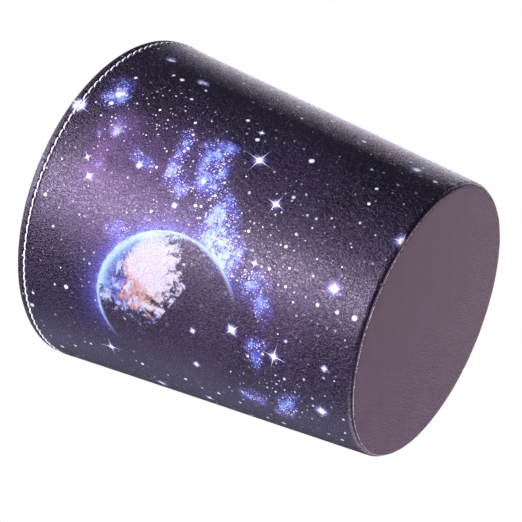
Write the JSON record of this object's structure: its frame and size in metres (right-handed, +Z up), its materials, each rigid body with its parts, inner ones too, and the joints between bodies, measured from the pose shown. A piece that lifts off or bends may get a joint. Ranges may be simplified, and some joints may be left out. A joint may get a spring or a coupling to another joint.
{
  "type": "dice cup",
  "caption": "Conical leather-covered dice cup with a stitched rim, a night-sky print with a planet, a flannel lining and a plain brown leather base",
  "frame": {"origin": "centre of the underside of the base, where the cup stands on the table", "axes": "+Z up along the cup's axis, from the base through the open mouth; -Y the side with the printed planet's lit limb, +Y the back, where the ends of the covering meet"},
  "size_m": [0.085, 0.085, 0.09],
  "materials": {
    "printed_leather": "grained leather cloth with a night-sky print, satin sheen",
    "base_leather": "plain brown leather cloth, fine grain, matt",
    "board": "grey board, raw",
    "card": "pale card, raw",
    "flannel": "short-pile black flannel",
    "thread": "twisted white sewing thread"
  },
  "bodies": {
    "root": {"outer_wrap": "printed_leather", "core_tube": "board", "base_board": "board", "base_infill": "card", "base_cover": "base_leather", "lining_wall": "flannel", "floor_card": "card", "floor_lining": "flannel", "needle_thread": "thread", "bobbin_thread": "thread"}
  },
  "joints": []
}
